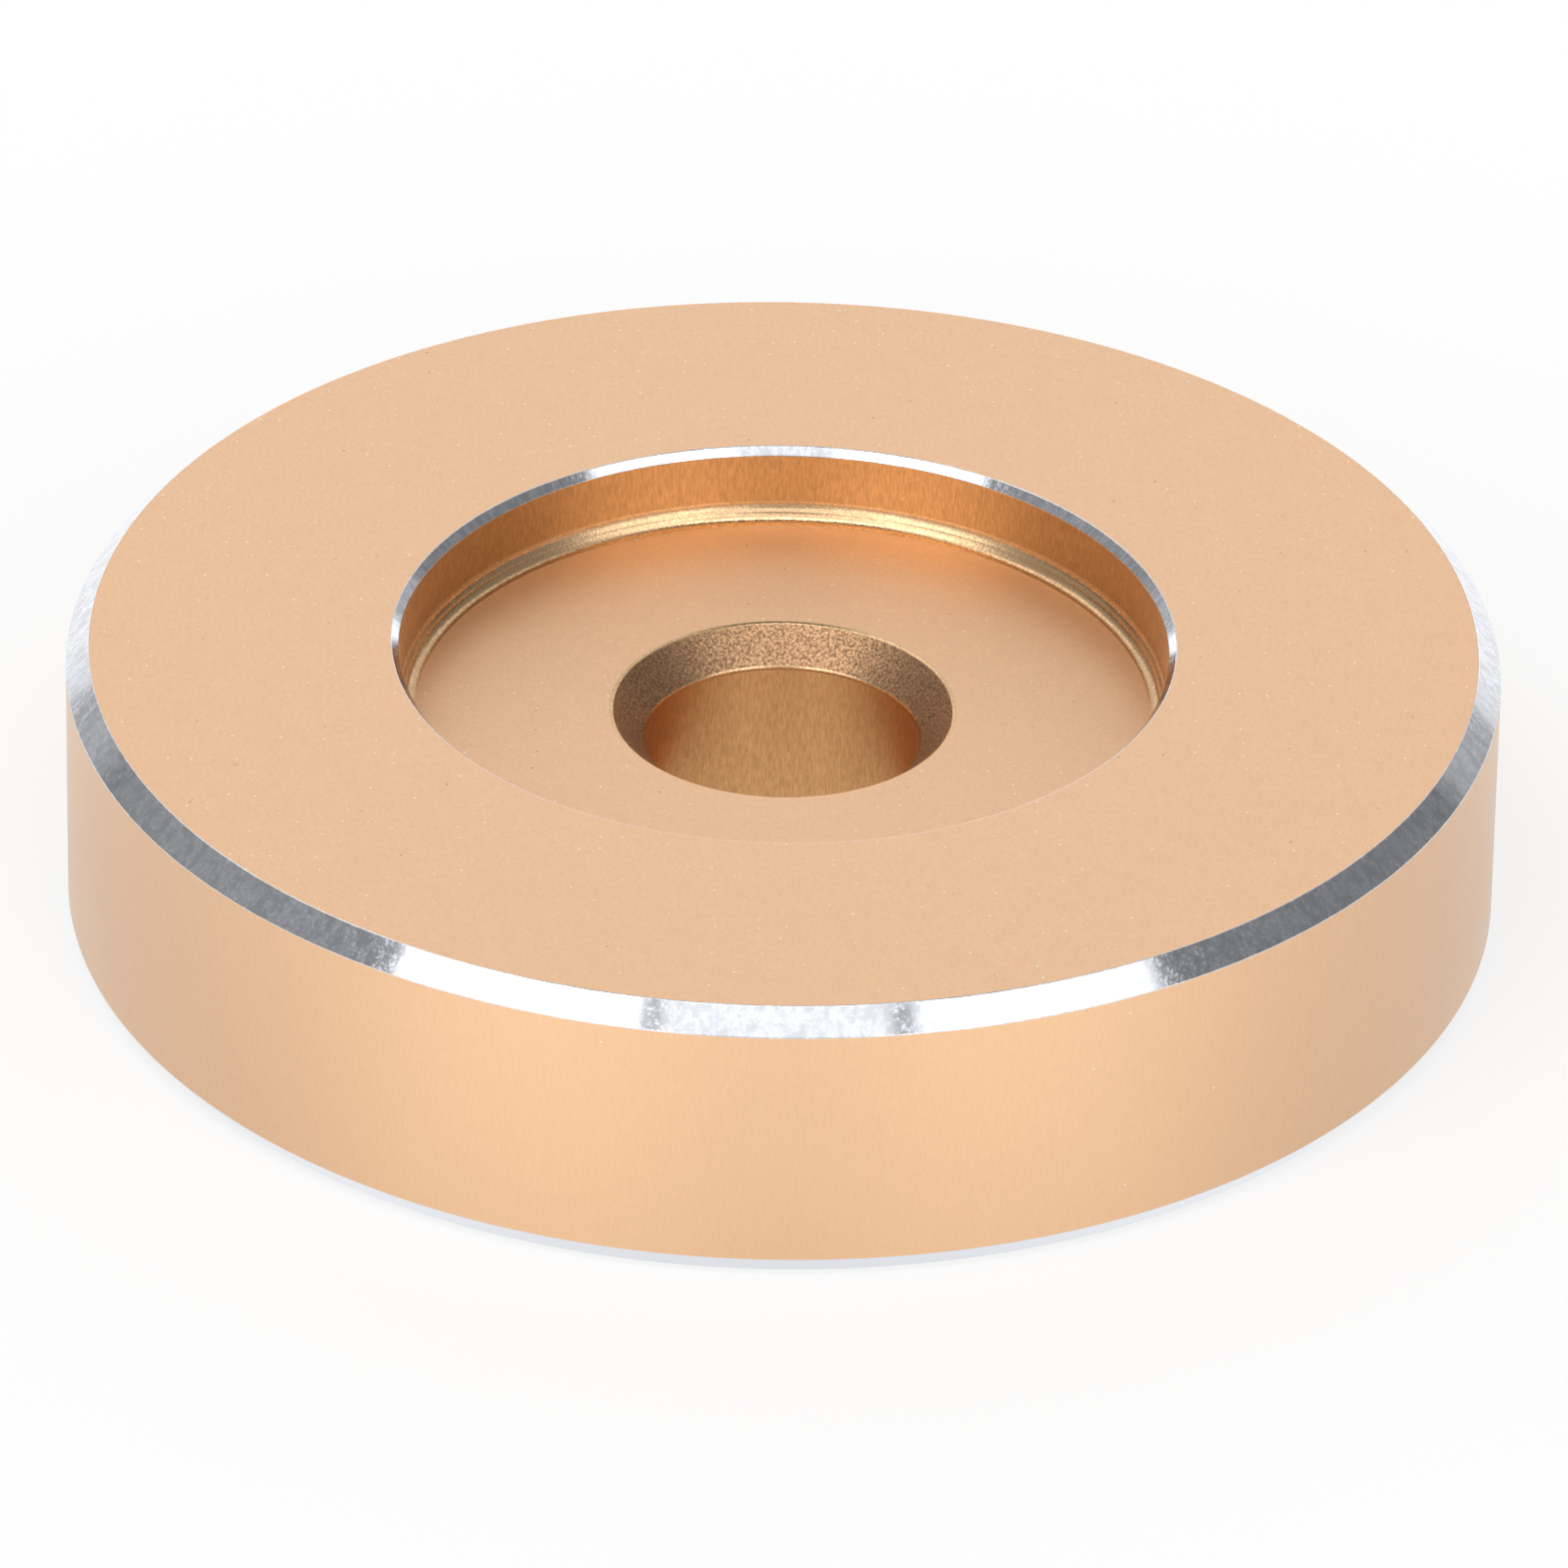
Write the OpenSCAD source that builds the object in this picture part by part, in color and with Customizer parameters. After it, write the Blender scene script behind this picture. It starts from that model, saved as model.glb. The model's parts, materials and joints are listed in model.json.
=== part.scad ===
// Record spindle adapter: a one-piece aluminium disc that fills the large
// centre hole of a 45 rpm record and drops over the turntable's spindle.
// It is turned all round, blasted and anodised gold. The chamfers of the outer
// edges and of the recess mouth are cut last and stay bright.
// Millimetres. The disc stands on z = 0, and z is its axis.

/* [Disc] */
// Diameter of the record's large centre hole
record_hole_d = 38.2; // [37.6:0.05:38.6]
// Play of the disc in the record's hole, on the diameter
record_play = 0.2; // [0.05:0.05:0.6]
// Height of the disc
disc_h = 7.8; // [5:0.1:16]

/* [Outer edges] */
// Leg of the bright 45 degree chamfer round the top edge
top_chamfer = 0.6; // [0.2:0.05:1.5]
// Width of the bright chamfer round the foot, along the underside
foot_chamfer_w = 0.35; // [0.15:0.05:1]
// Height of the bright chamfer round the foot, up the side
foot_chamfer_h = 0.5; // [0.2:0.05:1.5]

/* [Recess] */
// Diameter of the recess, wall to wall
recess_d = 20.4; // [14:0.1:28]
// Depth of the recess floor below the top face
recess_depth = 2.1; // [0.8:0.1:3.5]
// Leg of the bright 45 degree chamfer round the recess mouth
rim_chamfer = 0.2; // [0.1:0.05:0.6]
// Radius of the rounded corner where the recess wall meets its floor
corner_r = 0.35; // [0.1:0.05:0.6]

/* [Spindle hole] */
// Diameter of the turntable's spindle
spindle_d = 7.2; // [6.8:0.05:7.6]
// Play of the hole on the spindle, on the diameter
spindle_play = 0.1; // [0.02:0.02:0.5]
// Leg of the 45 degree countersink where the hole meets the recess floor
countersink = 0.9; // [0.3:0.05:2]
// Leg of the 45 degree chamfer where the hole leaves the underside
hole_foot_chamfer = 0.3; // [0.1:0.05:1]

/* [Hidden] */

disc_r = (record_hole_d - record_play) / 2;
hole_r = (spindle_d + spindle_play) / 2;
recess_r = recess_d / 2;
floor_z = disc_h - recess_depth;

// How far each cut runs on past the face that it leaves
over = 1;
$fn = 240;

// Half section of the full disc, with both outer edges chamfered
module disc_outline() {
    polygon([
        [0, 0],
        [disc_r - foot_chamfer_w, 0],
        [disc_r, foot_chamfer_h],
        [disc_r, disc_h - top_chamfer],
        [disc_r - top_chamfer, disc_h],
        [0, disc_h],
    ]);
}

// Metal left in the corner between the recess wall and floor: a concave quarter
// round that is tangent to both
module recess_corner() {
    translate([recess_r - corner_r, floor_z])
        difference() {
            square(corner_r);
            translate([0, corner_r]) circle(corner_r);
        }
}

// Half section of the recess: floor, rounded corner, straight wall and the
// chamfer of its mouth, which the cut follows on above the top face
module recess_cut() {
    difference() {
        polygon([
            [0, floor_z],
            [recess_r, floor_z],
            [recess_r, disc_h - rim_chamfer],
            [recess_r + rim_chamfer + over, disc_h + over],
            [0, disc_h + over],
        ]);
        recess_corner();
    }
}

// Half section of the spindle hole: chamfer at the underside, straight wall and
// the countersink at the recess floor
module spindle_hole_cut() {
    polygon([
        [0, -over],
        [hole_r + hole_foot_chamfer + over, -over],
        [hole_r, hole_foot_chamfer],
        [hole_r, floor_z - countersink],
        [hole_r + countersink + over, floor_z + over],
        [0, floor_z + over],
    ]);
}

// The disc is one turned section, swept round the axis
module adapter_disc() {
    color("#e3b98f")
        rotate_extrude()
            difference() {
                disc_outline();
                recess_cut();
                spindle_hole_cut();
            }
}

adapter_disc();
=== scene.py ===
import json
import math

import bmesh
import bpy
from bpy.props import FloatProperty, FloatVectorProperty, IntProperty, PointerProperty
from mathutils import Matrix, Quaternion, Vector


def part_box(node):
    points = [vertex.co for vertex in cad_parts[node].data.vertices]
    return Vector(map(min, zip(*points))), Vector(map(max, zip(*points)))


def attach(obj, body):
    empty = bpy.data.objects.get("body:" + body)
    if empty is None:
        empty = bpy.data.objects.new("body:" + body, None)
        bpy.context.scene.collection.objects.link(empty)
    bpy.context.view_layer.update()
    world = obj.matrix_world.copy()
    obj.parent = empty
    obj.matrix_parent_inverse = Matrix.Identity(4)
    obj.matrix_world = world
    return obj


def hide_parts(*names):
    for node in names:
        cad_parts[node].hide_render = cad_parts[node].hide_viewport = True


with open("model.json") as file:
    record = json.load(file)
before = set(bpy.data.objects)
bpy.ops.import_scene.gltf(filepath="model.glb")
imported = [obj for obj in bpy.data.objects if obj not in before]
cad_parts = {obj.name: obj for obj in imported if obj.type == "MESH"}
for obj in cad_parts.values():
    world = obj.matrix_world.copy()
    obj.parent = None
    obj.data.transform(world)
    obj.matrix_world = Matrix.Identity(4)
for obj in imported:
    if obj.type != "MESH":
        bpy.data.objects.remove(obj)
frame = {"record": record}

bl_info = {
    "name": "Record spindle adapter",
    "version": (1, 0, 0),
    "blender": (4, 5, 0),
    "location": "3D View > Sidebar > Adapter",
    "description": "Turns the adapter disc with its finishes, and sets up a plain studio round it",
    "category": "Object",
}

MM = 0.001
NODE = "adapter_disc"
SLOT = "anodised_aluminium"
BOX_LOW, BOX_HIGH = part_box(NODE)
MOUNTS = {mount["name"]: mount for mount in frame["record"]["mounts"]}
GOLD = next(m["base_color"] for m in frame["record"]["materials"] if m["slot"] == SLOT)
SECTORS = 16


def length(name, description, default):
    """A length in metres, shown in the scene's units."""
    return FloatProperty(
        name=name, description=description, default=default, min=0,
        precision=5, subtype="DISTANCE", unit="LENGTH",
    )


def colour(name, description, default):
    """A linear colour."""
    return FloatVectorProperty(
        name=name, description=description, default=default, size=3,
        min=0, max=1, subtype="COLOR",
    )


def angle(name, description, degrees):
    """An angle, kept in radians."""
    return FloatProperty(
        name=name, description=description, default=math.radians(degrees),
        subtype="ANGLE", unit="ROTATION",
    )


def factor(name, description, default, highest=1.0):
    """A plain number from 0 to its highest."""
    return FloatProperty(
        name=name, description=description, default=default, min=0, max=highest,
        precision=3, subtype="FACTOR",
    )


class DiscSizes(bpy.types.PropertyGroup):
    """Sizes of the half section that the disc is turned from."""

    disc_radius: length("Disc radius", "Radius that fills the record's large hole", (BOX_HIGH.x - BOX_LOW.x) / 2)
    disc_height: length("Disc height", "Height of the disc", BOX_HIGH.z - BOX_LOW.z)
    top_chamfer: length("Top chamfer", "Leg of the bright chamfer round the top edge", 0.6 * MM)
    foot_chamfer_width: length("Foot chamfer width", "Width of the bright chamfer along the underside", 0.35 * MM)
    foot_chamfer_height: length("Foot chamfer height", "Height of the bright chamfer up the side", 0.5 * MM)
    recess_radius: length("Recess radius", "Radius of the recess wall", 10.2 * MM)
    recess_depth: length("Recess depth", "Depth of the recess floor below the top face", 2.1 * MM)
    rim_chamfer: length("Rim chamfer", "Leg of the bright chamfer round the recess mouth", 0.2 * MM)
    corner_radius: length("Corner radius", "Tool nose radius in the corner of the recess", 0.35 * MM)
    pass_inset: length("Second pass inset", "How far inside the first pass the second one cuts", 0.095 * MM)
    pass_lift: length("First pass lift", "How far above the recess floor the first pass stops", 0.14 * MM)
    hole_radius: length("Hole radius", "Radius of the spindle hole", MOUNTS["spindle_hole"]["dims"]["r_mm"] * MM)
    countersink: length("Countersink", "Leg of the countersink in the recess floor", 0.9 * MM)
    hole_foot_chamfer: length("Hole foot chamfer", "Leg of the chamfer where the hole leaves the underside", 0.3 * MM)
    cut_edge_round: length("Cut edge round", "Rounding of the edges of the bright chamfers", 0.015 * MM)
    blast_edge_round: length("Blasted edge round", "Rounding that blasting leaves on the other edges", 0.06 * MM)
    turn_steps: IntProperty(name="Turn steps", description="Facets round the disc", default=512, min=64, max=1024)
    arc_steps: IntProperty(name="Arc steps", description="Facets in each arc of the recess corner", default=10, min=4, max=32)
    round_steps: IntProperty(name="Round steps", description="Facets across each edge round", default=3, min=1, max=8)


class DiscFinish(bpy.types.PropertyGroup):
    """Colours and texture sizes of the finishes."""

    gold: colour("Gold", "Anodised colour of the faces and the outer wall", GOLD)
    # Painted shade: a darker, deeper copy of the anodised gold stands for the shade and coloured bounces inside the
    # recess and the hole
    shaded_inner_gold: colour("Inner gold", "Deeper anodised colour of the recess wall and the hole", (0.67, 0.37, 0.158))
    corner_gold: colour("Corner gold", "Paler anodised colour of the smooth recess corner", (0.75, 0.5, 0.28))
    # Painted glints: this near-white colour is laid into the base colour as specks that stand for light caught by the
    # grains
    painted_glint: colour("Sparkle", "Colour of the bright grains in the blast", (1.0, 0.95, 0.82))
    aluminium: colour("Bare aluminium", "Colour of the bright cut chamfers", (0.76, 0.78, 0.83))
    # Partly painted shade: this darker, redder colour stands partly for the coarse blast and partly for shade in its
    # pits and in the hollow round the hole
    coarse_shaded_gold: colour("Countersink gold", "Browner colour of the coarse blast in the countersink", (0.4, 0.235, 0.13))
    grain: length("Blast grain", "Size of the fine blasted grain", 0.09 * MM)
    coarse_grain: length("Countersink grain", "Size of the coarse grain in the countersink", 0.068 * MM)
    streak: length("Streak width", "Width of the upright streaks on the walls", 0.035 * MM)
    blast_roughness: factor("Blast roughness", "Roughness of the blasted faces", 0.5)
    wall_roughness: factor("Wall roughness", "Roughness of the turned walls", 0.5)
    inner_roughness: factor("Inner roughness", "Roughness of the recess wall and the hole", 0.42)
    corner_roughness: factor("Corner roughness", "Roughness of the recess corner", 0.24)
    cut_roughness: factor("Cut roughness", "Roughness of the bright chamfers", 0.1)


class Studio(bpy.types.PropertyGroup):
    """Camera, lamps and floor."""

    camera_distance: length("Camera distance", "Distance from the disc to the camera", 401.12 * MM)
    camera_elevation: angle("Camera elevation", "Height of the camera above the horizon", 30.8345)
    camera_roll: angle("Camera roll", "Turn of the camera about its line of sight", 0.9772)
    lens: FloatProperty(name="Lens", description="Focal length in millimetres", default=346.2, min=1)
    lamp_distance: length("Lamp distance", "Distance from the disc to each lamp", 0.9)
    left_glow: factor("Left lamp", "Brightness of the left lamp, where 1 is white", 1.85, 10)
    right_glow: factor("Right lamp", "Brightness of the right lamp, where 1 is white", 1.3, 10)
    left_side_glow: factor("Left side lamp", "Brightness of the high lamp on the left side, where 1 is white", 1.25, 10)
    right_side_glow: factor("Right side lamp", "Brightness of the high lamp on the right side, where 1 is white", 0.55, 10)
    back_glow: factor("Back lamp", "Brightness of the lamp behind on the left, where 1 is white", 0.47, 10)
    low_glow: factor("Low lamps", "Brightness of the low lamps on both sides, where 1 is white", 1.2, 10)
    front_glow: factor("Front lamps", "Brightness of the lamps beside the camera, where 1 is white", 1.35, 10)
    fill_glow: factor("Front fill", "Brightness of the fill above the camera, where 1 is white", 0.98, 10)
    top_glow: factor("Top lamp", "Brightness of the top lamp, where 1 is white", 4.4, 10)
    backdrop_glow: factor("Backdrop", "Brightness of the lit backdrop behind the disc, where 1 is white", 0.53, 10)
    paper_glow: factor("Paper", "Brightness of the floor in the metal, where 1 is white", 1.32, 2)
    floor_colour: colour("Floor colour", "Colour of the floor", (0.9, 0.9, 0.9))


# ---------------------------------------------------------------- the disc

def wire(bm, points, start=None):
    """A chain of edges through points (radius, height) of the half section."""
    verts = [start] if start else []
    verts += [bm.verts.new((r, 0, z)) for r, z in points]
    return verts, [bm.edges.new(pair) for pair in zip(verts, verts[1:])]


def arc(bm, start, centre, sweep, steps):
    """An arc of the half section that starts at a vertex and turns about centre (radius, height)."""
    before = set(bm.edges)
    last = bmesh.ops.spin(
        bm, geom=[start], cent=(centre[0], 0, centre[1]), axis=(0, 1, 0),
        angle=sweep, steps=steps, use_merge=False,
    )["geom_last"]
    return next(e for e in last if isinstance(e, bmesh.types.BMVert)), [e for e in bm.edges if e not in before]


def turn(bm, edges, steps, material):
    """Turns edges of the half section round the disc's axis: one sector in fine steps, then copies of it."""
    before = set(bm.faces)
    sector = 2 * math.pi / SECTORS
    bmesh.ops.spin(
        bm, geom=edges + list({v for e in edges for v in e.verts}), cent=(0, 0, 0),
        axis=(0, 0, 1), angle=sector, steps=steps // SECTORS,
    )
    faces = [face for face in bm.faces if face not in before]
    for face in faces:
        face.material_index = material
    bmesh.ops.spin(
        bm, geom=faces + list({e for f in faces for e in f.edges}) + list({v for f in faces for v in f.verts}),
        cent=(0, 0, 0), axis=(0, 0, 1), angle=2 * math.pi - sector, steps=SECTORS - 1, use_duplicate=True,
    )


BLAST, WALL, INNER, CORNER, COARSE, CUT = range(6)


def turn_disc(s):
    """The disc's mesh, turned face by face from its half section."""
    bm = bmesh.new()
    floor_z = s.disc_height - s.recess_depth
    outer, inner, hole = s.disc_radius, s.recess_radius, s.hole_radius
    nose = s.corner_radius

    def run(points, material, start=None):
        verts, edges = wire(bm, points, start)
        runs.append((edges, material))
        return verts[-1]

    runs = []
    end = run([(hole + s.hole_foot_chamfer, 0), (outer - s.foot_chamfer_width, 0)], BLAST)
    end = run([(outer, s.foot_chamfer_height)], CUT, end)
    end = run([(outer, s.disc_height - s.top_chamfer)], WALL, end)
    end = run([(outer - s.top_chamfer, s.disc_height)], CUT, end)
    end = run([(inner + s.rim_chamfer, s.disc_height)], BLAST, end)
    end = run([(inner, s.disc_height - s.rim_chamfer)], CUT, end)
    end = run([(inner, floor_z + s.pass_lift + nose)], INNER, end)

    # Two passes of the tool's round nose leave two arcs that meet in a low ridge
    lean = math.atan2(s.pass_inset, s.pass_lift)
    half = math.asin(math.hypot(s.pass_inset, s.pass_lift) / (2 * nose))
    end, edges = arc(bm, end, (inner - nose, floor_z + s.pass_lift + nose), lean + half, s.arc_steps)
    runs.append((edges, CORNER))
    second = (inner - s.pass_inset - nose, floor_z + nose)
    end, edges = arc(bm, end, second, math.pi / 2 - (lean - half), s.arc_steps)
    runs.append((edges, CORNER))

    end = run([(hole + s.countersink, floor_z)], BLAST, end)
    end = run([(hole, floor_z - s.countersink)], COARSE, end)
    end = run([(hole, s.hole_foot_chamfer)], INNER, end)
    end = run([(hole + s.hole_foot_chamfer, 0)], CUT, end)

    for edges, material in runs:
        turn(bm, edges, s.turn_steps, material)
    bmesh.ops.remove_doubles(bm, verts=bm.verts, dist=1e-7)
    bmesh.ops.recalc_face_normals(bm, faces=bm.faces)

    corners = {
        edge: {face.material_index for face in edge.link_faces}
        for edge in bm.edges if edge.calc_face_angle_signed() > math.radians(20)
    }
    cut = [edge for edge, finishes in corners.items() if CUT in finishes]
    ridge = [edge for edge, finishes in corners.items() if finishes == {CORNER}]
    blasted = [edge for edge, finishes in corners.items() if COARSE in finishes]
    rounded = {face for face in bm.faces if face.material_index == CORNER}
    for edges, offset, material in (
        (ridge, s.cut_edge_round, CORNER), (blasted, s.blast_edge_round, CORNER), (cut, s.cut_edge_round, CUT),
    ):
        made = bmesh.ops.bevel(
            bm, geom=edges, offset=offset, offset_type="OFFSET", segments=s.round_steps,
            profile=0.5, affect="EDGES", material=material, clamp_overlap=False, loop_slide=True,
        )
        rounded.update(made["faces"])

    # Flat faces and cones keep their own normals, and the rounds are shaded smooth
    for edge in bm.edges:
        edge.smooth = sum(face in rounded for face in edge.link_faces) != 1
    for face in bm.faces:
        face.smooth = True
    mesh = bpy.data.meshes.new("turned_disc")
    bm.to_mesh(mesh)
    bm.free()
    return mesh


# ---------------------------------------------------------------- finishes

def put(tree, kind, inputs=None, **settings):
    """Adds a node. Each input is given by a value, or by the socket that feeds it."""
    node = tree.nodes.new(kind)
    for name, value in settings.items():
        setattr(node, name, value)
    for name, value in (inputs or {}).items():
        if isinstance(value, bpy.types.NodeSocket):
            tree.links.new(value, node.inputs[name])
        else:
            node.inputs[name].default_value = value
    return node


def maths(tree, operation, a, b=0.0):
    """The result of a Math node."""
    return put(tree, "ShaderNodeMath", {0: a, 1: b}, operation=operation).outputs[0]


def spread(tree, value, low, high, new_low=0.0, new_high=1.0, smooth=True):
    """Maps low to high onto new_low to new_high."""
    kind = "SMOOTHSTEP" if smooth else "LINEAR"
    inputs = {"Value": value, 1: low, 2: high, 3: new_low, 4: new_high}
    return put(tree, "ShaderNodeMapRange", inputs, interpolation_type=kind).outputs[0]


def blend(tree, share, a, b):
    """Colour a, with b laid over it by share."""
    node = put(tree, "ShaderNodeMix", {0: share}, data_type="RGBA")
    for index, value in ((6, a), (7, b)):
        if isinstance(value, bpy.types.NodeSocket):
            tree.links.new(value, node.inputs[index])
        else:
            node.inputs[index].default_value = (*value, 1)
    return node.outputs[2]


def effect(name, inputs, outputs):
    """A shader node group with named inputs and outputs, and its two end nodes."""
    group = bpy.data.node_groups.new(name, "ShaderNodeTree")
    for label, kind, value in inputs:
        socket = group.interface.new_socket(label, in_out="INPUT", socket_type=f"NodeSocket{kind}")
        if value is not None:
            socket.default_value = value
    for label, kind in outputs:
        group.interface.new_socket(label, in_out="OUTPUT", socket_type=f"NodeSocket{kind}")
    return group, group.nodes.new("NodeGroupInput").outputs, group.nodes.new("NodeGroupOutput")


def grain_effect():
    """Blasted grain: a height, a fine tone and a broad, cloudy tone."""
    g, given, out = effect(
        "blasted grain",
        [("Vector", "Vector", None), ("Size", "Float", 0.1 * MM)],
        [("Height", "Float"), ("Fine", "Float"), ("Broad", "Float")],
    )
    scale = maths(g, "DIVIDE", 1.0, given["Size"])
    fine = put(g, "ShaderNodeTexNoise", {"Vector": given["Vector"], "Scale": scale, "Detail": 2.0, "Roughness": 0.6})
    pits = put(g, "ShaderNodeTexVoronoi", {"Vector": given["Vector"], "Scale": scale, "Randomness": 1.0}, feature="SMOOTH_F1")
    broad = put(g, "ShaderNodeTexNoise", {"Vector": given["Vector"], "Scale": maths(g, "MULTIPLY", scale, 0.12), "Detail": 3.0})
    height = maths(g, "ADD", fine.outputs[0], maths(g, "MULTIPLY", pits.outputs["Distance"], 0.6))
    for value, label in ((height, "Height"), (fine.outputs[0], "Fine"), (broad.outputs[0], "Broad")):
        g.links.new(value, out.inputs[label])
    return g


def speck_effect(name, dimensions):
    """Scattered specks: one cell in a few holds a round speck. Level faces take the flat kind, in 2D cells."""
    g, given, out = effect(
        name,
        [("Vector", "Vector", None), ("Spacing", "Float", 1 * MM), ("Size", "Float", 0.1), ("Share", "Float", 0.3)],
        [("Mask", "Float")],
    )
    cells = put(
        g, "ShaderNodeTexVoronoi",
        {"Vector": given["Vector"], "Scale": maths(g, "DIVIDE", 1.0, given["Spacing"])},
        voronoi_dimensions=dimensions, feature="F1",
    )
    pick = put(g, "ShaderNodeSeparateColor", {0: cells.outputs["Color"]})
    size = maths(g, "MULTIPLY", given["Size"], spread(g, pick.outputs[1], 0.0, 1.0, 0.4, 1.0, smooth=False))
    inside = maths(g, "LESS_THAN", cells.outputs["Distance"], size)
    chosen = maths(g, "LESS_THAN", pick.outputs[0], given["Share"])
    g.links.new(maths(g, "MULTIPLY", inside, chosen), out.inputs["Mask"])
    return g


def streak_effect():
    """Fine streaks along the third axis of the vector."""
    g, given, out = effect(
        "fine streaks",
        [("Vector", "Vector", None), ("Width", "Float", 0.05 * MM), ("Stretch", "Float", 8.0)],
        [("Streak", "Float"), ("Broad", "Float")],
    )
    parts = put(g, "ShaderNodeSeparateXYZ", {0: given["Vector"]})
    squeezed = maths(g, "DIVIDE", parts.outputs[2], given["Stretch"])
    vector = put(g, "ShaderNodeCombineXYZ", {0: parts.outputs[0], 1: parts.outputs[1], 2: squeezed}).outputs[0]
    scale = maths(g, "DIVIDE", 1.0, given["Width"])
    fine = put(g, "ShaderNodeTexNoise", {"Vector": vector, "Scale": scale, "Detail": 3.0, "Roughness": 0.65})
    wide = put(g, "ShaderNodeTexNoise", {"Vector": vector, "Scale": maths(g, "MULTIPLY", scale, 0.2), "Detail": 2.0})
    g.links.new(fine.outputs[0], out.inputs["Streak"])
    g.links.new(wide.outputs[0], out.inputs["Broad"])
    return g


def turned_effect():
    """Coordinates that follow the turning: the first two go slowly round the axis, the third runs up it."""
    g, given, out = effect(
        "turned coordinates",
        [("Vector", "Vector", None), ("Around", "Float", 1.0)],
        [("Vector", "Vector")],
    )
    parts = put(g, "ShaderNodeSeparateXYZ", {0: given["Vector"]})
    flat = put(g, "ShaderNodeCombineXYZ", {0: parts.outputs[0], 1: parts.outputs[1]}).outputs[0]
    around = put(g, "ShaderNodeVectorMath", {0: flat}, operation="NORMALIZE").outputs[0]
    scaled = put(g, "ShaderNodeVectorMath", {0: around, "Scale": given["Around"]}, operation="SCALE").outputs[0]
    turned = put(g, "ShaderNodeSeparateXYZ", {0: scaled})
    vector = put(g, "ShaderNodeCombineXYZ", {0: turned.outputs[0], 1: turned.outputs[1], 2: parts.outputs[2]})
    g.links.new(vector.outputs[0], out.inputs["Vector"])
    return g


class Finish:
    """A metal finish: its material, its coordinates and its shader."""

    def __init__(self, name, roughness, anisotropy=0.0, coat=1.0):
        self.material = bpy.data.materials.new(name)
        self.material.use_nodes = True
        self.tree = self.material.node_tree
        self.tree.nodes.clear()
        coordinates = self.put("ShaderNodeTexCoord").outputs["Object"]
        self.place = self.put("ShaderNodeMapping", {"Vector": coordinates}).outputs[0]
        self.shader = self.put("ShaderNodeBsdfPrincipled", {
            "Metallic": 1.0, "Roughness": roughness, "Anisotropic": anisotropy, "Anisotropic Rotation": 0.25,
            "Coat Weight": coat, "Coat Roughness": 0.35, "Coat IOR": 1.6,
        })
        if anisotropy:
            tangent = self.put("ShaderNodeTangent", direction_type="RADIAL", axis="Z")
            self.tree.links.new(tangent.outputs[0], self.shader.inputs["Tangent"])
        out = self.put("ShaderNodeOutputMaterial")
        self.tree.links.new(self.shader.outputs[0], out.inputs["Surface"])

    def put(self, kind, inputs=None, **settings):
        return put(self.tree, kind, inputs, **settings)

    def effect(self, name, inputs):
        """One of the shared groups, placed with its own values."""
        node = self.tree.nodes.new("ShaderNodeGroup")
        node.node_tree = bpy.data.node_groups[name]
        for label, value in inputs.items():
            if isinstance(value, bpy.types.NodeSocket):
                self.tree.links.new(value, node.inputs[label])
            else:
                node.inputs[label].default_value = value
        return node.outputs

    def feed(self, socket, value):
        self.tree.links.new(value, self.shader.inputs[socket])

    def bump(self, height, strength, distance):
        """Raises the surface by height, distance being its full depth."""
        bump = self.put("ShaderNodeBump", {"Height": height, "Strength": strength, "Distance": distance})
        self.feed("Normal", bump.outputs[0])


def tint(rgb, share):
    """The colour made lighter or darker."""
    return tuple(min(1.0, c * share) for c in rgb)


def blasted_gold(p):
    """Fine blast on the top face, the recess floor and the underside."""
    f = Finish("blasted_gold", p.blast_roughness)
    grain = f.effect("blasted grain", {"Vector": f.place, "Size": p.grain})
    shade = spread(f.tree, grain["Fine"], 0.3, 0.7)
    base = blend(f.tree, shade, tint(p.gold, 1.06), tint(p.gold, 1.14))
    base = blend(f.tree, spread(f.tree, grain["Broad"], 0.35, 0.65, 0.0, 0.3), base, tint(p.gold, 1.04))
    pits = f.effect("level specks", {"Vector": f.place, "Spacing": 1.1 * MM, "Size": 0.035, "Share": 0.12})["Mask"]
    base = blend(f.tree, maths(f.tree, "MULTIPLY", pits, 0.6), base, tint(p.gold, 0.3))
    # Painted glints: scattered specks of the sparkle colour in the base colour, made a little smoother
    painted_glints = f.effect("level specks", {"Vector": f.place, "Spacing": 0.6 * MM, "Size": 0.055, "Share": 0.32})["Mask"]
    base = blend(f.tree, painted_glints, base, p.painted_glint)
    f.feed("Base Color", base)
    rough = spread(f.tree, grain["Fine"], 0.3, 0.7, p.blast_roughness + 0.04, p.blast_roughness - 0.04)
    f.feed("Roughness", maths(f.tree, "SUBTRACT", rough, maths(f.tree, "MULTIPLY", painted_glints, 0.15)))
    f.bump(grain["Height"], 0.18, 0.02 * MM)
    return f.material


def satin_gold(name, dark, light, roughness, anisotropy, coat, glints_and_bump, p):
    """Turned walls, with short upright streaks between a dark and a light gold."""
    f = Finish(name, roughness, anisotropy=anisotropy, coat=coat)
    streaks = f.effect("fine streaks", {"Vector": f.place, "Width": p.streak, "Stretch": 9.0})
    base = blend(f.tree, spread(f.tree, streaks["Streak"], 0.3, 0.7), dark, light)
    # Painted glints on the walls: a share of specks in the sparkle colour; the same number also sets the streaks' bump
    # strength
    specks = {"Vector": f.place, "Spacing": 0.45 * MM, "Size": 0.07, "Share": glints_and_bump}
    painted_glints = f.effect("scattered specks", specks)["Mask"]
    f.feed("Base Color", blend(f.tree, maths(f.tree, "MULTIPLY", painted_glints, 0.7), base, p.painted_glint))
    f.feed("Roughness", spread(f.tree, streaks["Streak"], 0.3, 0.7, roughness + 0.03, roughness - 0.03))
    f.bump(streaks["Streak"], glints_and_bump, 0.01 * MM)
    return f.material


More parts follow.
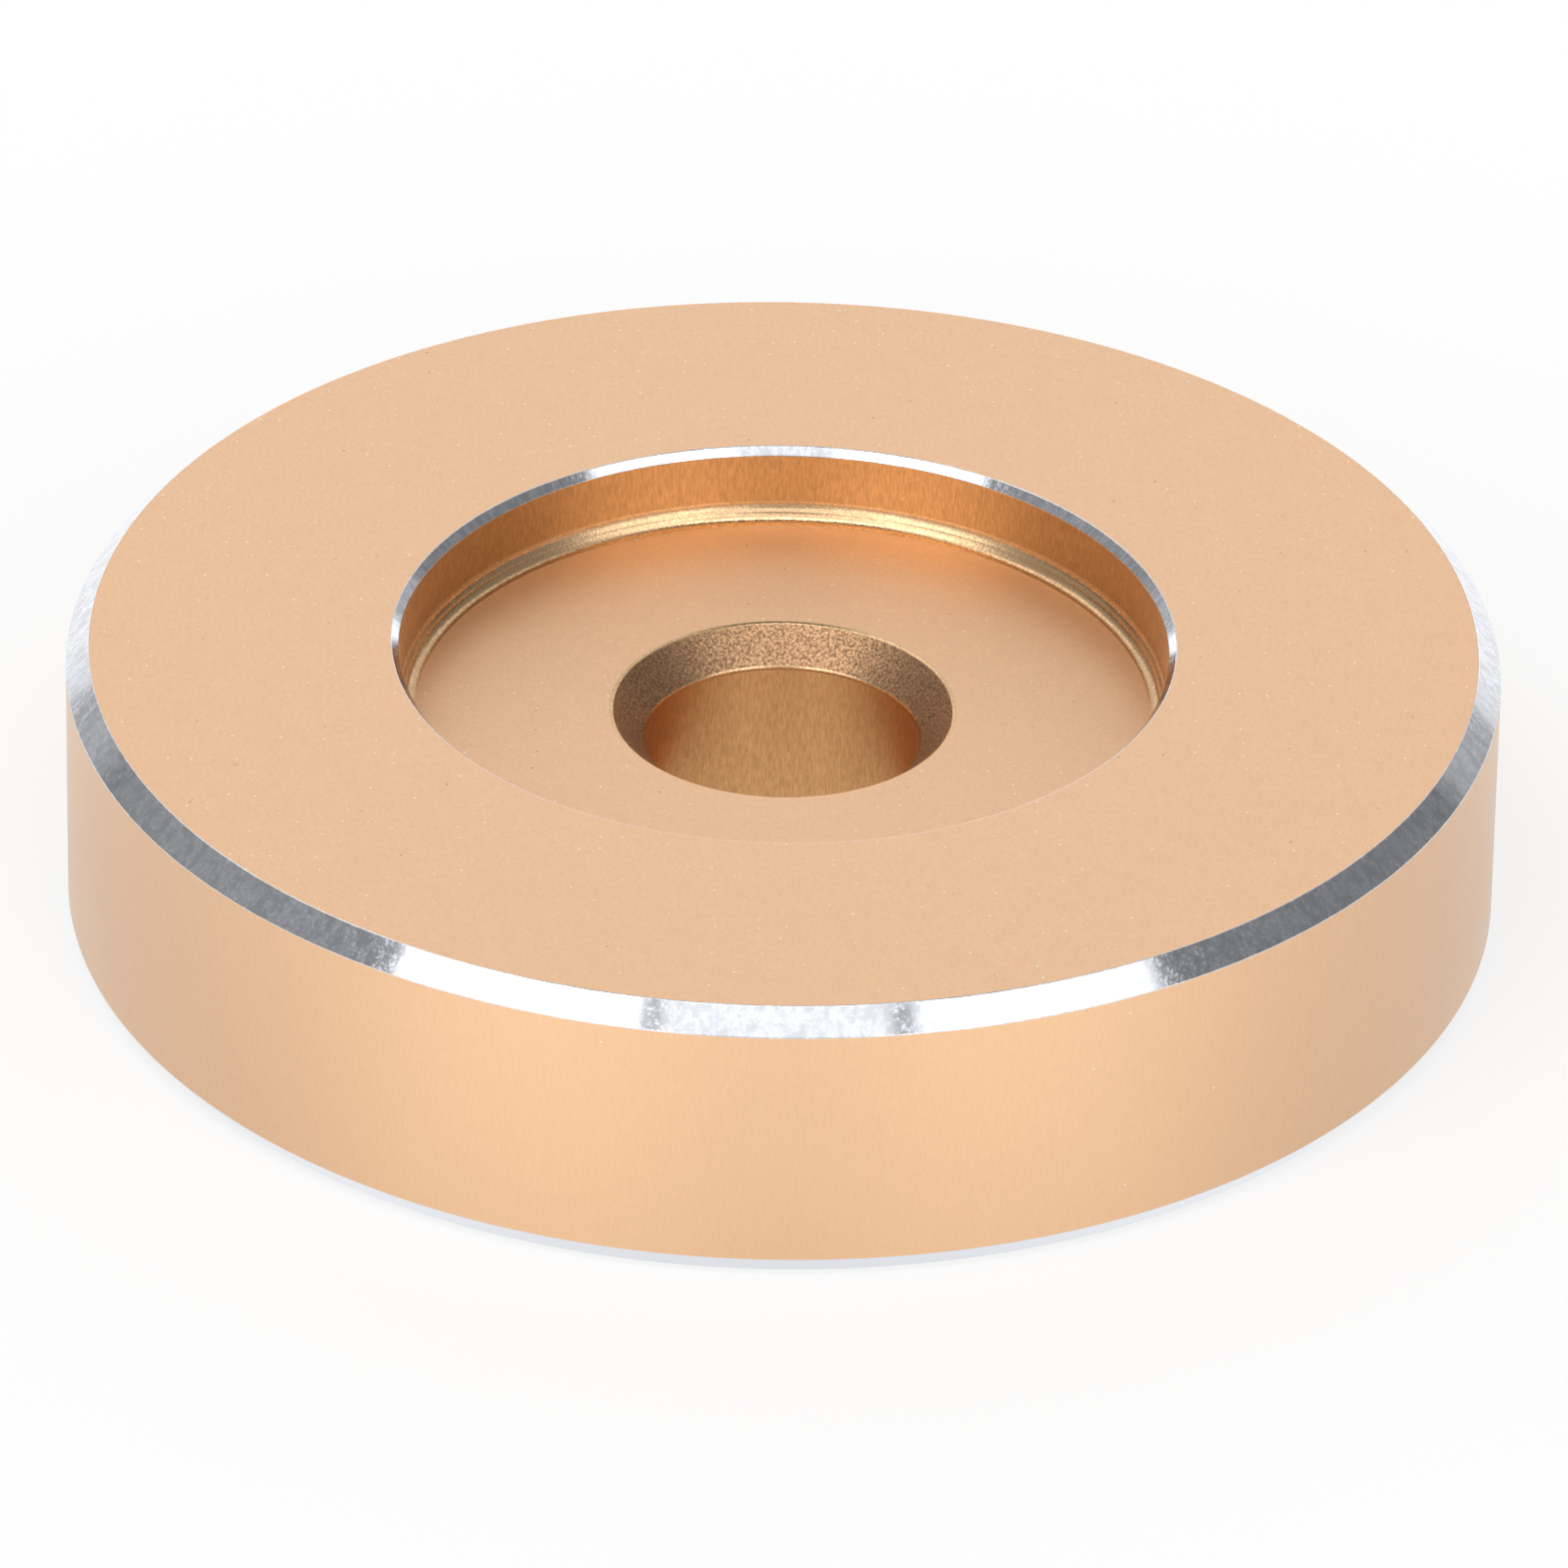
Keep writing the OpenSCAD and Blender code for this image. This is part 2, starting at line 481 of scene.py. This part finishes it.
def outer_gold(p):
    """The outer wall."""
    dark, light = tint(p.gold, 1.02), tint(p.gold, 1.06)
    return satin_gold("outer_gold", dark, light, p.wall_roughness, 0.75, 1.0, 0.06, p)


def shaded_inner_gold(p):
    """The recess wall and the spindle hole, in a darker, deeper copy of the gold that paints the shade inside the
    recess and the hole.
    """
    dark, light = tint(p.shaded_inner_gold, 0.84), tint(p.shaded_inner_gold, 1.22)
    return satin_gold("shaded_inner_gold", dark, light, p.inner_roughness, 0.85, 0.0, 0.4, p)


def smooth_gold(p):
    """The recess corner, left smoother by the tool's nose."""
    f = Finish("smooth_gold", p.corner_roughness, coat=0.0)
    grain = f.effect("blasted grain", {"Vector": f.place, "Size": p.coarse_grain})
    shade = spread(f.tree, grain["Fine"], 0.35, 0.65)
    f.feed("Base Color", blend(f.tree, shade, tint(p.corner_gold, 0.85), tint(p.corner_gold, 1.12)))
    f.feed("Roughness", spread(f.tree, grain["Fine"], 0.3, 0.7, p.corner_roughness + 0.05, p.corner_roughness - 0.05))
    f.bump(grain["Height"], 0.2, 0.02 * MM)
    return f.material


def coarse_shaded_gold(p):
    """The countersink's coarse, glittering blast, in a colour darkened partly by the coarse blast and partly as painted
    shade of its pits and of the hollow round the hole.
    """
    f = Finish("coarse_shaded_gold", 0.43, coat=0.0)
    grain = f.effect("blasted grain", {"Vector": f.place, "Size": p.coarse_grain})
    shade = spread(f.tree, grain["Fine"], 0.35, 0.65)
    f.feed("Base Color", blend(f.tree, shade, tint(p.coarse_shaded_gold, 0.6), tint(p.coarse_shaded_gold, 1.4)))
    f.feed("Roughness", spread(f.tree, grain["Fine"], 0.35, 0.65, 0.48, 0.38))
    f.bump(grain["Height"], 0.6, 0.02 * MM)
    return f.material


def cut_aluminium(p):
    """Chamfers cut bright and bare after anodising."""
    f = Finish("cut_aluminium", p.cut_roughness, anisotropy=0.4, coat=0.0)
    turned = f.effect("turned coordinates", {"Vector": f.place, "Around": 19 * MM})["Vector"]
    marks = f.effect("fine streaks", {"Vector": turned, "Width": 0.1 * MM, "Stretch": 0.7})
    grain = f.effect("blasted grain", {"Vector": turned, "Size": 0.3 * MM})
    flecks = maths(f.tree, "MULTIPLY", spread(f.tree, marks["Streak"], 0.46, 0.66), spread(f.tree, grain["Fine"], 0.3, 0.6))
    # The mottling and the marks fade out from 5 mm down to 1 mm above the underside, so the foot chamfer stays clean
    above_foot = spread(f.tree, f.put("ShaderNodeSeparateXYZ", {0: f.place}).outputs[2], 1 * MM, 5 * MM)
    flecks = maths(f.tree, "MULTIPLY", flecks, above_foot)
    cloud = maths(f.tree, "MULTIPLY", spread(f.tree, grain["Fine"], 0.65, 0.35), above_foot)
    base = blend(f.tree, cloud, tint(p.aluminium, 1.0), tint(p.aluminium, 0.84))
    f.feed("Base Color", blend(f.tree, flecks, base, tint(p.aluminium, 1.15)))
    f.feed("Roughness", spread(f.tree, flecks, 0.0, 1.0, p.cut_roughness, p.cut_roughness + 0.12, smooth=False))
    f.bump(maths(f.tree, "MULTIPLY", marks["Streak"], above_foot), 0.05, 0.01 * MM)
    return f.material


# ---------------------------------------------------------------- the studio

def point_at(azimuth, elevation, distance):
    """A point in the studio. Azimuth 0 is in front of the disc and grows to the right."""
    a, e = math.radians(azimuth), math.radians(elevation)
    return Vector((math.sin(a) * math.cos(e), -math.cos(a) * math.cos(e), math.sin(e))) * distance


def softbox(name, azimuth, elevation, distance, wide, high, glow):
    """A rectangular lamp that faces the disc. Wide and high are angles seen from the disc."""
    lamp = bpy.data.lights.new(name, "AREA")
    lamp.shape = "RECTANGLE"
    lamp.size = 2 * distance * math.tan(math.radians(wide) / 2)
    lamp.size_y = 2 * distance * math.tan(math.radians(high) / 2)
    lamp.energy = glow * math.pi * lamp.size * lamp.size_y
    lit = bpy.data.objects.new(name, lamp)
    bpy.context.scene.collection.objects.link(lit)
    lit.location = point_at(azimuth, elevation, distance)
    lit.rotation_euler = lit.location.to_track_quat("Z", "Y").to_euler()
    return lit


def ramp(tree, value, stops):
    """Maps a value to a grey level through stops (value from 0 to 1, level)."""
    node = put(tree, "ShaderNodeValToRGB", {0: value})
    elements = node.color_ramp.elements
    while len(elements) < len(stops):
        elements.new(0.5)
    for element, (place, level) in zip(elements, stops):
        element.position = place
        element.color = (level, level, level, 1)
    return node.outputs[0]


def floor_material(p):
    """White paper: metal sees it glowing, with painted pools of the lamps' light and a painted shadow close to the
    disc, and the camera sees it with the disc's soft shadow.
    """
    material = bpy.data.materials.new("studio_paper")
    material.use_nodes = True
    t = material.node_tree
    t.nodes.clear()
    paper = put(t, "ShaderNodeBsdfDiffuse", {"Color": (*p.floor_colour, 1)})
    white = put(t, "ShaderNodeEmission", {"Strength": 1.0})
    place = put(t, "ShaderNodeTexCoord").outputs["Object"]
    away = put(t, "ShaderNodeVectorMath", {0: place}, operation="LENGTH").outputs["Value"]
    # The lamps' pools of light on the paper, by the way round from the camera
    y = put(t, "ShaderNodeSeparateXYZ", {0: place}).outputs[1]
    behind = spread(t, maths(t, "DIVIDE", y, away), -1.0, 1.0, smooth=False)
    pools = ramp(t, behind, ((0.0, 0.94), (0.076, 1.0), (0.28, 0.9), (0.55, 0.76), (0.8, 0.74), (1.0, 0.9)))
    # Painted shadow: the glow that metal sees dims close to the disc
    shade = spread(t, away, 0.019, 0.036, 0.76, 1.0)
    mirrored = maths(t, "MULTIPLY", maths(t, "MULTIPLY", pools, shade), p.paper_glow)
    mirrored = put(t, "ShaderNodeEmission", {"Strength": mirrored})
    clear = spread(t, away, 0.0205, 0.05, 0.7, 1.0)
    path = put(t, "ShaderNodeLightPath").outputs
    seen = maths(t, "MAXIMUM", maths(t, "MULTIPLY", path["Is Camera Ray"], clear), path["Is Transmission Ray"])
    sheet = put(t, "ShaderNodeMixShader", {0: seen, 1: paper.outputs[0], 2: white.outputs[0]})
    sheet = put(t, "ShaderNodeMixShader", {0: path["Is Glossy Ray"], 1: sheet.outputs[0], 2: mirrored.outputs[0]})
    under = put(t, "ShaderNodeNewGeometry").outputs["Backfacing"]
    see_through = put(t, "ShaderNodeBsdfTransparent")
    both = put(t, "ShaderNodeMixShader", {0: under, 1: sheet.outputs[0], 2: see_through.outputs[0]})
    out = put(t, "ShaderNodeOutputMaterial")
    t.links.new(both.outputs[0], out.inputs["Surface"])
    return material


def light_room(scene):
    """The room's own light, by height above the horizon and by the way round from the camera."""
    world = bpy.data.worlds.new("studio_room")
    world.use_nodes = True
    t = world.node_tree
    t.nodes.clear()
    x, y, up = put(t, "ShaderNodeSeparateXYZ", {0: put(t, "ShaderNodeTexCoord").outputs["Generated"]}).outputs
    level = maths(t, "SQRT", maths(t, "SUBTRACT", 1.0, maths(t, "MULTIPLY", up, up)))
    behind = spread(t, maths(t, "DIVIDE", y, level), -1.0, 1.0, smooth=False)
    # Just above the table: pale in front, dark at the sides, pale again behind
    low = ramp(t, behind, ((0.0, 0.4), (0.24, 0.4), (0.4, 0.1), (0.76, 0.02), (0.82, 0.25), (0.9, 0.25), (0.92, 0.5)))
    # Higher up: a dim room, a little darker on the right, and no ceiling light
    room = ramp(t, up, ((0.25, 0.3), (0.85, 0.3), (0.9, 0.0)))
    room = maths(t, "MULTIPLY", room, spread(t, x, -1.0, 1.0, 1.2, 0.8, smooth=False))
    high = maths(t, "GREATER_THAN", up, 0.29)
    glow = put(t, "ShaderNodeMix", {0: high, 2: maths(t, "MULTIPLY", low, 2.0), 3: room}, data_type="FLOAT").outputs[0]
    sweep = maths(t, "LESS_THAN", up, 0.087)
    glow = put(t, "ShaderNodeMix", {0: sweep, 2: glow, 3: 1.0}, data_type="FLOAT").outputs[0]
    background = put(t, "ShaderNodeBackground", {"Color": (1, 1, 1, 1), "Strength": glow})
    out = put(t, "ShaderNodeOutputWorld")
    t.links.new(background.outputs[0], out.inputs["Surface"])
    scene.world = world


def place_camera(scene, p):
    """The photograph's camera."""
    eye = bpy.data.objects.new("camera", bpy.data.cameras.new("camera"))
    scene.collection.objects.link(eye)
    middle = Vector((0, 0, 4 * MM))
    eye.location = middle + point_at(0, math.degrees(p.camera_elevation), p.camera_distance)
    aim = Vector((0.066, -0.283, 3.526)) * MM
    look = (aim - eye.location).to_track_quat("-Z", "Y")
    eye.rotation_euler = (look @ Quaternion((0, 0, 1), p.camera_roll)).to_euler()
    eye.data.sensor_width = 36
    eye.data.lens = p.lens
    scene.camera = eye


# ---------------------------------------------------------------- add-on

class ADAPTER_OT_turn_disc(bpy.types.Operator):
    """Turn the adapter disc and give its faces their finishes"""

    bl_idname = "adapter.turn_disc"
    bl_label = "Turn the disc"

    def execute(self, context):
        sizes, finish = context.scene.adapter_sizes, context.scene.adapter_finish
        for make in (grain_effect, streak_effect, turned_effect):
            make()
        speck_effect("scattered specks", "3D")
        speck_effect("level specks", "2D")
        disc = bpy.data.objects.new("turned_disc", turn_disc(sizes))
        context.scene.collection.objects.link(disc)
        for make in (blasted_gold, outer_gold, shaded_inner_gold, smooth_gold, coarse_shaded_gold, cut_aluminium):
            disc.data.materials.append(make(finish))
        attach(disc, "root")
        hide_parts(NODE)
        return {"FINISHED"}


class ADAPTER_OT_set_stage(bpy.types.Operator):
    """Set up the camera, the floor, the lamps and the room's light"""

    bl_idname = "adapter.set_stage"
    bl_label = "Set the stage"

    def execute(self, context):
        scene, p = context.scene, context.scene.adapter_studio
        place_camera(scene, p)
        bm = bmesh.new()
        bmesh.ops.create_circle(bm, cap_ends=True, segments=96, radius=6.0)
        bmesh.ops.translate(bm, verts=bm.verts, vec=(0, 0, -0.01 * MM))
        mesh = bpy.data.meshes.new("studio_floor")
        bm.to_mesh(mesh)
        bm.free()
        mesh.materials.append(floor_material(p))
        floor = bpy.data.objects.new("studio_floor", mesh)
        scene.collection.objects.link(floor)
        softbox("left_softbox", -52, 54, p.lamp_distance, 27, 30, p.left_glow)
        softbox("right_softbox", 52, 54, p.lamp_distance, 27, 30, p.right_glow)
        softbox("left_low", -46, 31, p.lamp_distance, 30, 22, p.low_glow)
        softbox("right_low", 46, 31, p.lamp_distance, 30, 22, p.low_glow)
        softbox("left_side", -92, 66, p.lamp_distance, 40, 14, p.left_side_glow)
        softbox("right_side", 92, 66, p.lamp_distance, 40, 14, p.right_side_glow)
        softbox("left_back", -130, 50, p.lamp_distance, 36, 22, p.back_glow)
        softbox("left_front", -24, 30, p.lamp_distance, 18, 30, p.front_glow)
        softbox("right_front", 24, 30, p.lamp_distance, 18, 30, p.front_glow)
        softbox("front_fill", 0, 52, p.lamp_distance, 26, 34, p.fill_glow)
        softbox("top_strip", 0, 76, p.lamp_distance, 30, 12, p.top_glow)
        softbox("backdrop", 180, 34, p.lamp_distance, 74, 68, p.backdrop_glow)
        light_room(scene)
        scene.view_settings.view_transform = "Standard"
        return {"FINISHED"}


class ADAPTER_PT_panel(bpy.types.Panel):
    """Lists the adapter's operators and settings"""

    bl_idname = "ADAPTER_PT_panel"
    bl_label = "Record spindle adapter"
    bl_space_type = "VIEW_3D"
    bl_region_type = "UI"
    bl_category = "Adapter"

    def draw(self, context):
        for operator in (ADAPTER_OT_turn_disc, ADAPTER_OT_set_stage):
            self.layout.operator(operator.bl_idname)
        for settings in (context.scene.adapter_sizes, context.scene.adapter_finish, context.scene.adapter_studio):
            box = self.layout.box()
            for name in settings.__annotations__:
                box.prop(settings, name)


CLASSES = (DiscSizes, DiscFinish, Studio, ADAPTER_OT_turn_disc, ADAPTER_OT_set_stage, ADAPTER_PT_panel)


def register():
    for cls in CLASSES:
        bpy.utils.register_class(cls)
    bpy.types.Scene.adapter_sizes = PointerProperty(type=DiscSizes)
    bpy.types.Scene.adapter_finish = PointerProperty(type=DiscFinish)
    bpy.types.Scene.adapter_studio = PointerProperty(type=Studio)


def unregister():
    del bpy.types.Scene.adapter_sizes
    del bpy.types.Scene.adapter_finish
    del bpy.types.Scene.adapter_studio
    for cls in reversed(CLASSES):
        bpy.utils.unregister_class(cls)


def main():
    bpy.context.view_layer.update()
    register()
    bpy.ops.adapter.set_stage()
    bpy.ops.adapter.turn_disc()


if __name__ == "__main__":
    main()
